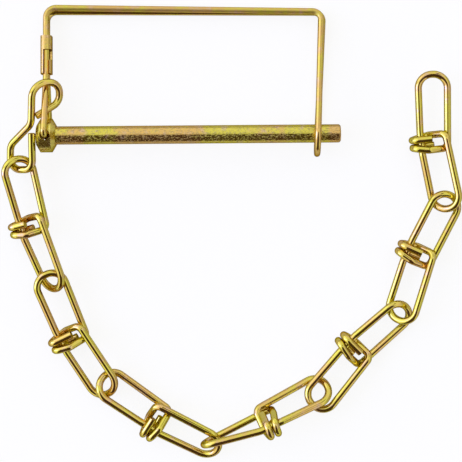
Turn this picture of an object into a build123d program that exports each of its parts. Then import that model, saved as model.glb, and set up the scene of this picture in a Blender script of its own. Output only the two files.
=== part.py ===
from build123d import *

import os
from math import cos, radians, sin, sqrt, tan

# Snapper pin: a turned pin, a sprung wire bail that snaps over its free end, and a short length of
# double-loop chain that ties it to a machine. Millimetres. The origin is on the pin's axis, at the
# shoulder of its head; +X runs to the free end and +Z is up. The set lies at rest on a flat surface.

os.makedirs("parts", exist_ok=True)

# Pin
shank_d = 6.35  # a quarter inch
shank_length = 98.6
tip_chamfer = 0.5
head_d = 11.7
head_length = 6.7
head_face_d = 7.2  # of the flat at each end of the head
head_taper = 1.35
cross_hole_d = 3.4
cross_hole_inset = 3.35  # from the shoulder
cross_hole_chamfer = 0.2

# Bail: one wire. Both ends enter the head's cross hole, two strands run side by side up the near
# leg and along the bar, and part again on the far leg into a loop that straddles the free end.
# Heights on the bail are from the line of its two ends.
bail_wire_d = 2.2
bail_roll = 8.16  # degrees about the pin's axis, at which the bar lies on the surface
bail_sag = 0.4  # between the line of the bail's ends and the middle of the cross hole
bail_end_gap = 0.6  # from the pin's axis to each end in the cross hole
elbow_clearance = 0.9  # between the head and each strand
elbow_radius = 1.6
strand_gap = 0.06
pinch_height = 21.2  # where the strands meet on the near leg
pinch_radius = 10.0
near_lean = 0.6  # of the near leg, over the bar's height
bar_height = 45.4
bar_droop = 2.0
bar_stagger = 1.0  # between the two strands at the bar's near end
near_corner_radius = 3.4
far_corner_radius = 3.0
far_corner_setback = 5.6  # from the pin's free end
loop_setback = 8.2
loop_drop = 6.6
loop_clearance = 4.19  # between the shank and the loop's widest part
loop_radius = 6.9
loop_stagger = 0.35  # of each strand of the far leg

# Ferrule: folded sheet that holds the two strands of the near leg together
ferrule_sheet = 0.75
ferrule_clearance = 0.12
ferrule_start = 22.0
ferrule_length = 13.4
window_width = 2.0  # between the edges of the sheet that curl over the front strand
window_shift = 0.2
notch_start = 4.8
notch_length = 3.6
notch_wall = 1.2

# S-hook: upper eye round one strand of the near leg, lower eye through the first link
hook_wire_d = 2.5
hook_route = [
    (-6.45, 6.8, 2.7),
    (1.05, 11.6, -1.1),
    (1.25, 18.4, 0.4),
    (-7.55, 18.5, 4.5),
    (-8.25, 4.1, 2.7),
    (-16.55, -3.4, -3.6),
    (-16.95, -12.0, -5.1),
    (-8.35, -11.8, -0.1),
    (-8.25, 0.8, 1.9),
]
hook_radii = [4.2, 3.8, 5.4, 4.2, 4.6, 3.75, 3.75]

# Chain: every link is one wire with an eye at each end, knotted round its own backbone
link_wire_d = 2.5
link_reach = 24.0  # from the knot to the end of each eye
link_width = 10.3  # between the wire's centres, across an eye
link_splay = 4.6  # degrees, between the backbone and each eye
eye_radius = 4.84
root_offset = 4.0  # from the knot to where the backbone bends into the eye
root_radius = 8.0
turn_clearance = 0.18  # between the backbone and the turn round it
turn_gap = 0.1  # between the two turns of a knot
turn_depth = 3.0  # how far a turn stands off the backbone
turn_radius = 2.4
throat_offset = 2.6
throat_radius = 2.0
shoulder_offset = 8.8
shoulder_radius = 2.2

# How each link lies: heading, pitch and roll in degrees, then how far the near and the far eye lean
# out of the link's own plane, and the length of its cut ends
links = [
    (-73.5, -1.0, 16.0, 2.9, 2.4, 3.4),
    (-63.0, -2.0, 5.5, 0.8, 1.4, 5.4),
    (-32.0, 0.5, 7.0, 2.8, 2.0, 4.4),
    (23.0, -5.5, -57.5, 3.4, 1.5, 4.4),
    (45.5, -2.0, 186.5, 1.8, 2.0, 4.8),
    (67.0, 1.0, 170.0, 1.8, 2.2, 5.0),
    (96.0, -1.0, 166.5, 1.6, 1.0, 4.2),
]

# How far each link's near eye reaches back past the eye that holds it, once the two wires would
# touch, and how far it lies to the left of that eye and above it
interlocks = [
    (1.5, -0.8, 0.35),
    (3.4, -1.3, 0.1),
    (2.9, 1.8, 0.7),
    (2.3, 2.4, 4.2),
    (5.2, -2.8, 1.3),
    (2.6, 0.1, 1.4),
    (2.2, 0.4, 0.4),
]

hole_plane = Plane(
    origin=(0, 0, 0),
    x_dir=(1, 0, 0),
    z_dir=(0, sin(radians(bail_roll)), cos(radians(bail_roll))),
)
bail_plane = hole_plane.move(Location(hole_plane.y_dir * -bail_sag))


with BuildPart() as pin:
    with BuildSketch(Plane.XZ) as profile:
        with BuildLine():
            Polyline(
                (-head_length, 0),
                (-head_length, head_face_d / 2),
                (-head_length + head_taper, head_d / 2),
                (-head_taper, head_d / 2),
                (0, head_face_d / 2),
                (0, shank_d / 2),
                (shank_length - tip_chamfer, shank_d / 2),
                (shank_length, shank_d / 2 - tip_chamfer),
                (shank_length, 0),
                close=True,
            )
        make_face()
    revolve(axis=Axis.X)
    with BuildSketch(hole_plane):
        with Locations((-cross_hole_inset, 0)):
            Circle(cross_hole_d / 2)
    extrude(amount=head_d, both=True, mode=Mode.SUBTRACT)
    mouths = pin.edges(Select.LAST).filter_by(GeomType.LINE, reverse=True)
    chamfer(mouths, cross_hole_chamfer)
pin.part.label = "pin"
export_step(pin.part, "parts/pin.step")


def strand(side):
    """Corners of one strand from the cross hole to the loop; side is +1 or -1 along the hole."""
    near_x = -cross_hole_inset
    bar_step = bar_stagger if side < 0 else 0
    stagger = -side * loop_stagger
    beside = side * (bail_wire_d + strand_gap) / 2
    elbow = side * (head_d / 2 + elbow_clearance + bail_wire_d / 2)
    spread = side * (shank_d / 2 + loop_clearance + bail_wire_d / 2)
    return [
        (near_x, 0, side * bail_end_gap),
        (near_x, 0, elbow),
        (near_x - near_lean * pinch_height / bar_height, pinch_height, beside),
        (near_x - near_lean, bar_height - bar_step, beside),
        (shank_length - far_corner_setback + stagger, bar_height - bar_droop, beside),
        (shank_length - loop_setback + stagger, -loop_drop, spread),
    ]


with BuildPart() as bail:
    strand_radii = [elbow_radius, pinch_radius, near_corner_radius, far_corner_radius, loop_radius]
    with BuildLine(bail_plane) as bail_path:
        FilletPolyline(*strand(1), *reversed(strand(-1)), radius=strand_radii + strand_radii[::-1])
    with BuildSketch(Plane(origin=bail_path.line @ 0, z_dir=bail_path.line % 0)):
        Circle(bail_wire_d / 2)
    sweep(path=bail_path.wire())
bail.part.label = "bail"
export_step(bail.part, "parts/bail.step")


with BuildPart() as ferrule:
    leg_foot, leg_top = [bail_plane.from_local_coords((x, y, 0)) for x, y, z in strand(1)[2:4]]
    leg = (leg_top - leg_foot).normalized()
    ferrule_plane = Plane(
        origin=leg_foot + leg * (ferrule_start - pinch_height),
        x_dir=leg.cross(bail_plane.z_dir),
        z_dir=leg,
    )
    inside_width = bail_wire_d + 2 * ferrule_clearance
    inside_depth = inside_width + bail_wire_d + strand_gap
    outside_width = inside_width + 2 * ferrule_sheet
    outside_depth = inside_depth + 2 * ferrule_sheet
    with BuildSketch(ferrule_plane):
        SlotOverall(outside_depth, outside_width, rotation=90)
        SlotOverall(inside_depth, inside_width, rotation=90, mode=Mode.SUBTRACT)
    extrude(amount=ferrule_length)
    with BuildSketch(ferrule_plane):
        with Locations((window_shift, 0)):
            Rectangle(window_width, outside_depth, align=(Align.CENTER, Align.MAX))
    extrude(amount=notch_start, mode=Mode.SUBTRACT)
    with BuildSketch(ferrule_plane.offset(notch_start)):
        with Locations((notch_wall, 0)):
            Rectangle(outside_width, outside_depth, align=(Align.CENTER, Align.MAX))
    extrude(amount=notch_length, mode=Mode.SUBTRACT)
ferrule.part.label = "ferrule"
export_step(ferrule.part, "parts/ferrule.step")


with BuildPart() as s_hook:
    with BuildLine() as hook_path:
        FilletPolyline(*hook_route, radius=hook_radii)
    with BuildSketch(Plane(origin=hook_path.line @ 0, z_dir=hook_path.line % 0)):
        Circle(hook_wire_d / 2)
    sweep(path=hook_path.wire())
s_hook.part.label = "s_hook"
export_step(s_hook.part, "parts/s_hook.step")


def eye_height(lean):
    """Width of an eye as seen along the link's own plane."""
    return sqrt(link_width**2 - 4 * lean**2)


def eye_middle(lean):
    """Middle of the far eye's end, in the link's own frame."""
    across = eye_height(lean) / 2
    return (
        link_reach - sin(radians(link_splay)) * across,
        tan(radians(link_splay)) * (link_reach - root_offset) + cos(radians(link_splay)) * across,
    )


def half_link(lean, cut_end):
    """Corners of the far half of a link, from its backbone round the eye and the knot."""
    splay = radians(link_splay)
    root_y = tan(splay) * (link_reach - root_offset)
    turn_x = (link_wire_d + turn_gap) / 2
    turn_z = link_wire_d + turn_clearance
    return [
        (root_offset, 0, 0),
        (link_reach, root_y, -lean),
        (link_reach - sin(splay) * eye_height(lean), root_y + cos(splay) * eye_height(lean), lean),
        (-throat_offset, shoulder_offset, turn_z / 2),
        (-turn_x - link_wire_d / 2, throat_offset, -turn_z),
        (-turn_x - turn_gap, -turn_depth, -turn_z),
        (-turn_x, -turn_depth, turn_z),
        (-turn_x + turn_gap, cut_end, turn_z),
    ]


half_radii = [
    root_radius,
    eye_radius,
    eye_radius,
    shoulder_radius,
    throat_radius,
    turn_radius,
    turn_radius,
]


def chain_plane(count, held_by):
    """Plane of a link's backbone, from the middle of the eye that holds its near eye."""
    heading, pitch, roll, near_lean = links[count][:4]
    back, left, up = interlocks[count]
    before = links[count - 1][0] if count else heading
    pull = radians((before + heading) / 2)
    back += (link_wire_d + (link_wire_d if count else hook_wire_d)) / 2
    near_middle = held_by + Vector(
        -back * cos(pull) - left * sin(pull),
        -back * sin(pull) + left * cos(pull),
        up,
    )
    lie = Plane(Location((0, 0, 0), (roll, -pitch, heading), Extrinsic.XYZ))
    reach, across = eye_middle(near_lean)
    origin = near_middle - lie.from_local_coords((-reach, across, 0))
    return Plane(origin=origin, x_dir=lie.x_dir, z_dir=lie.z_dir)


held_by = (Vector(*hook_route[6]) + Vector(*hook_route[7])) / 2
for count, (heading, pitch, roll, near_lean, far_lean, cut_end) in enumerate(links):
    plane = chain_plane(count, held_by)
    near_half = [(-x, y, -z) for x, y, z in half_link(near_lean, cut_end)]
    with BuildPart() as link:
        with BuildLine(plane) as link_path:
            FilletPolyline(
                *reversed(near_half),
                *half_link(far_lean, cut_end),
                radius=half_radii[::-1] + half_radii,
            )
        with BuildSketch(Plane(origin=link_path.line @ 0, z_dir=link_path.line % 0)):
            Circle(link_wire_d / 2)
        sweep(path=link_path.wire())
    link.part.label = f"link_{count + 1}"
    export_step(link.part, f"parts/link_{count + 1}.step")
    held_by = plane.from_local_coords((*eye_middle(far_lean), 0))
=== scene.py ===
import math

import bpy
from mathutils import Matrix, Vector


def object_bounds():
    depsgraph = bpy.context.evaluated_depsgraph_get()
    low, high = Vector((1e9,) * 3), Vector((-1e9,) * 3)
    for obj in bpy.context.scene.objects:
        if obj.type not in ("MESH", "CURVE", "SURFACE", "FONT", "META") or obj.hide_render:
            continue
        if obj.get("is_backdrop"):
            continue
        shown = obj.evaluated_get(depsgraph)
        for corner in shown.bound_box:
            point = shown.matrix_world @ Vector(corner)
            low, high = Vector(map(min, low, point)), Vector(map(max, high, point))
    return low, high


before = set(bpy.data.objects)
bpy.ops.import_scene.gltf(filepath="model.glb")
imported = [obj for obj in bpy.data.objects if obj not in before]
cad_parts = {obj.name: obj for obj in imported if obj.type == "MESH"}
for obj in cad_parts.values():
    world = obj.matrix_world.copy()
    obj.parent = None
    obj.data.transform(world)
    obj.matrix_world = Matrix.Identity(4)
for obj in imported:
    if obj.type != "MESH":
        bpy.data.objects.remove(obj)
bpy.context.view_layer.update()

# Snapper pin on a white table: a turned pin, its wire bail and ferrule, an S-hook and seven
# knotted chain links, all steel with yellow chromate over zinc. Every piece is a CAD node; this
# script gives each its finish, and sets up the table, the room and the camera.

MM = 0.001
BAIL_ROLL = math.radians(8.16)  # between the bail's plane and the table

# Outputs of the Texture Coordinate node
GENERATED = 0
OBJECT = 3

# Socket numbers of a Mix node that mixes colours
MIX_FACTOR, MIX_LOW, MIX_HIGH, MIX_RESULT = 0, 6, 7, 2


def rgb(red, green, blue):
    return (red, green, blue, 1.0)


WHITE = rgb(1.0, 1.0, 1.0)

# Yellow chromate, by how thick it lies
GREEN_GOLD = rgb(0.76, 0.665, 0.10)
ORANGE_GOLD = rgb(0.79, 0.51, 0.16)
BLUSH = rgb(0.77, 0.56, 0.40)
HEAD_GOLD = rgb(0.98, 0.88, 0.24)
PIT_BROWN = rgb(0.50, 0.43, 0.22)
GRAZING_GOLD = rgb(0.45, 0.33, 0.09)

# Along the pin, in millimetres from the shoulder of its head: from, to, and how far the plating
# goes towards orange there. A negative push is towards green.
PIN_BANDS = [
    (-9, 0, -0.10),
    (1, 10, 0.12),
    (9, 21, -0.20),
    (20, 52, 0.12),
    (51, 67, -0.20),
    (66, 80, 0.05),
    (79, 95, -0.20),
    (94, 110, 0.15),
]
BAND_FADE = 3  # at each end of a band


class Shade:
    """A shader socket that takes part in Python arithmetic by adding Math nodes."""

    def __init__(self, tree, socket):
        self.tree = tree
        self.socket = socket

    def _math(self, operation, *values):
        return self.tree.node("ShaderNodeMath", {"operation": operation}, *values)

    def __add__(self, other):
        return self._math("ADD", self, other)

    def __radd__(self, other):
        return self._math("ADD", other, self)

    def __sub__(self, other):
        return self._math("SUBTRACT", self, other)

    def __rsub__(self, other):
        return self._math("SUBTRACT", other, self)

    def __mul__(self, other):
        return self._math("MULTIPLY", self, other)

    def __rmul__(self, other):
        return self._math("MULTIPLY", other, self)

    def maximum(self, other):
        return self._math("MAXIMUM", self, other)

    def absolute(self):
        return self._math("ABSOLUTE", self)

    def rise(self, low, high):
        """0 below low, 1 above high and a smooth step between them."""
        settings = {"interpolation_type": "SMOOTHSTEP", "clamp": True}
        return self.tree.node("ShaderNodeMapRange", settings, self, low, high, 0.0, 1.0)

    def fall(self, low, high):
        """1 below low, 0 above high and a smooth step between them."""
        return 1.0 - self.rise(low, high)

    def near(self, middle, inner, outer):
        """1 within inner of the middle, 0 beyond outer of it."""
        return (self - middle).absolute().fall(inner, outer)


class Tree:
    """Adds nodes to a material's or a world's tree."""

    def __init__(self, owner):
        owner.use_nodes = True
        self.nodes = owner.node_tree.nodes
        self.links = owner.node_tree.links
        self.nodes.clear()

    def _feed(self, made, key, value):
        if isinstance(value, Shade):
            self.links.new(value.socket, made.inputs[key])
        else:
            made.inputs[key].default_value = value

    def node(self, kind, settings, *values, out=0, **named):
        """Adds a node: its settings first, then the values or links of its sockets."""
        made = self.nodes.new(kind)
        for name, value in settings.items():
            setattr(made, name, value)
        for key, value in enumerate(values):
            self._feed(made, key, value)
        for name, value in named.items():
            self._feed(made, name.replace("_", " "), value)
        return Shade(self, made.outputs[out]) if made.outputs else None

    def noise(self, place, scale, detail, roughness):
        return self.node(
            "ShaderNodeTexNoise", {}, place, Scale=scale, Detail=detail, Roughness=roughness
        )

    def split(self, vector):
        """The three components of a vector, each a Shade."""
        made = self.nodes.new("ShaderNodeSeparateXYZ")
        self._feed(made, 0, vector)
        return [Shade(self, made.outputs[k]) for k in range(3)]

    def mix(self, factor, low, high):
        """Mixes two colours."""
        made = self.nodes.new("ShaderNodeMix")
        made.data_type = "RGBA"
        for key, value in ((MIX_FACTOR, factor), (MIX_LOW, low), (MIX_HIGH, high)):
            self._feed(made, key, value)
        return Shade(self, made.outputs[MIX_RESULT])


def yellow_zinc(name, bands=(), tan=0.0, grain=0.0, roughness=0.08, two_strands=False):
    """Yellow chromate on zinc: gold that drifts between green-yellow and orange-tan.

    tan pushes the whole piece towards orange, and bands push lengths of it. grain is how coarse
    and pitted the steel is under the plating, from 0 for drawn wire to 1 for a turned bar. bands
    are for the pin alone, whose head is smoother and paler than its shank. two_strands is for the
    bail alone, whose upper strand is duller along the bar."""
    material = bpy.data.materials.new(name)
    tree = Tree(material)
    place = tree.node("ShaderNodeTexCoord", {}, out=OBJECT)
    x, y, z = tree.split(place)
    drift = tree.noise(place, scale=95.0, detail=3.0, roughness=0.55)
    cloud = tree.noise(place, scale=360.0, detail=2.0, roughness=0.5)
    drawn = tree.node("ShaderNodeMapping", {}, place, Scale=(0.6, 1.2, 1.2))
    speck = tree.noise(drawn, scale=2000.0, detail=2.0, roughness=0.7)

    toward_orange = drift * 0.6 + cloud * 0.4 + tan
    for low, high, push in bands:
        rise = x.rise(low * MM, (low + BAND_FADE) * MM)
        fall = x.fall((high - BAND_FADE) * MM, high * MM)
        toward_orange = toward_orange + rise * fall * push
    tint = tree.mix(toward_orange.rise(0.40, 0.62), GREEN_GOLD, ORANGE_GOLD)
    tint = tree.mix(cloud.rise(0.56, 0.72) * 0.55, tint, BLUSH)

    pits = speck.rise(0.54, 0.64)
    pit_colour = 0.2 + 0.5 * grain
    if bands:
        on_head = 0.4
        coarseness = x.rise(-1.0 * MM, 1.0 * MM) * (1.0 - on_head) + on_head
        pit_colour = coarseness * pit_colour
        pits = pits * coarseness
        tint = tree.mix((1.0 - coarseness) * 0.8, tint, HEAD_GOLD)
    tint = tree.mix(speck.rise(0.45, 0.75) * pit_colour, tint, PIT_BROWN)

    shine = roughness + (cloud - 0.5) * 0.12 + pits * 0.2 * grain
    if two_strands:
        height = z * math.cos(BAIL_ROLL) + y * math.sin(BAIL_ROLL)
        upper_strand = height.rise(-0.1 * MM, 0.3 * MM)
        along_bar = y.rise(37 * MM, 43 * MM)
        shine = shine + upper_strand * along_bar * 0.42

    pit_depth = (0.003 + 0.035 * grain) * MM
    bump = tree.node("ShaderNodeBump", {}, Strength=1.0, Distance=pit_depth, Height=pits)
    surface = tree.node(
        "ShaderNodeBsdfPrincipled",
        {},
        Base_Color=tint,
        Metallic=1.0,
        Roughness=shine,
        Specular_Tint=GRAZING_GOLD,
        Normal=bump,
    )
    tree.node("ShaderNodeOutputMaterial", {}, Surface=surface)
    return material


def dress(node, material):
    """Gives a CAD node its finish."""
    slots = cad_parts[node].data.materials
    slots.clear()
    slots.append(material)


def table_top():
    """White table under the set, just below its lowest point."""
    side = 3.0
    glow_strength = 1.08
    glow_share = 0.8
    low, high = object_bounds()
    bpy.ops.mesh.primitive_plane_add(size=side, location=(0.06, 0.0, low[2] - 0.02 * MM))
    table = bpy.context.object
    table.name = "table_top"
    material = bpy.data.materials.new("white table")
    tree = Tree(material)
    paint = tree.node("ShaderNodeBsdfDiffuse", {}, rgb(0.9, 0.9, 0.9))
    glow = tree.node("ShaderNodeEmission", {}, WHITE, glow_strength)
    seen = tree.node("ShaderNodeLightPath", {})  # Is Camera Ray
    blend = tree.node("ShaderNodeMixShader", {}, seen * glow_share, paint, glow)
    tree.node("ShaderNodeOutputMaterial", {}, Surface=blend)
    table.data.materials.append(material)
    table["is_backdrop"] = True


def studio():
    """White room, with a dark gap overhead that widens towards the front, and a window at the left.

    x, y and z are a direction's parts, each from -1 to 1: to the right, to the back and up."""
    world = bpy.data.worlds.new("studio")
    bpy.context.scene.world = world
    tree = Tree(world)
    x, y, z = tree.split(tree.node("ShaderNodeTexCoord", {}, out=GENERATED))

    half_width = 0.31 + 0.19 * (0.0 - y).rise(0.0, 0.4)
    gap = (x.absolute() - half_width).fall(-0.03, 0.07) * y.fall(0.10, 0.22)
    slot_behind = x.near(0.26, 0.06, 0.13) * y.rise(0.34, 0.42) * y.fall(0.66, 0.76)
    gap = gap.maximum(slot_behind)

    main_pane = y.near(-0.04, 0.16, 0.30)
    rear_pane = 0.24 * y.near(0.54, 0.12, 0.22)
    window = (0.5 * y - x).rise(0.60, 0.74) * z.rise(0.0, 0.1)
    window = window * rear_pane.maximum(main_pane)

    left = (0.0 - x).rise(0.30, 0.60)
    right = x.rise(0.55, 0.95)
    light = 0.95 + 0.15 * left - 0.50 * right + 2.1 * window

    daylight = rgb(0.61, 0.69, 1.70)
    dark_brown = rgb(0.075, 0.045, 0.030)
    seen = tree.node("ShaderNodeLightPath", {})  # Is Camera Ray
    tone = tree.mix(window, WHITE, daylight)
    tone = tree.mix(gap, tone, dark_brown)
    tone = tree.mix(seen, tone, WHITE)
    level = light * (1.0 - seen) + seen
    background = tree.node("ShaderNodeBackground", {}, tone, level)
    tree.node("ShaderNodeOutputWorld", {}, Surface=background)


def camera():
    """Camera straight above the opening in the bail, shifted to take in the chain."""
    height = 430.3 * MM
    frame_side = 462
    width = frame_side * 0.347 * MM
    data = bpy.data.cameras.new("camera")
    data.sensor_width = 36.0
    data.lens = data.sensor_width * height / width
    data.shift_y = -131 / frame_side
    camera = bpy.data.objects.new("camera", data)
    camera.location = (60.72 * MM, 11.85 * MM, height)
    camera.rotation_euler = (0.0, 0.0, math.radians(-0.44))
    bpy.context.scene.collection.objects.link(camera)
    bpy.context.scene.camera = camera


camera()
table_top()
studio()
wire = yellow_zinc("yellow zinc on wire")
turned = yellow_zinc("yellow zinc on turned steel", bands=PIN_BANDS, grain=1.0, roughness=0.22)
dress("pin", turned)
dress("bail", yellow_zinc("yellow zinc on spring wire", tan=0.03, two_strands=True))
dress("ferrule", yellow_zinc("yellow zinc on folded sheet", tan=0.10, grain=0.3, roughness=0.2))
dress("s_hook", wire)
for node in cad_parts:
    if node.startswith("link_"):
        dress(node, wire)

view = bpy.context.scene.view_settings
view.view_transform = "Standard"
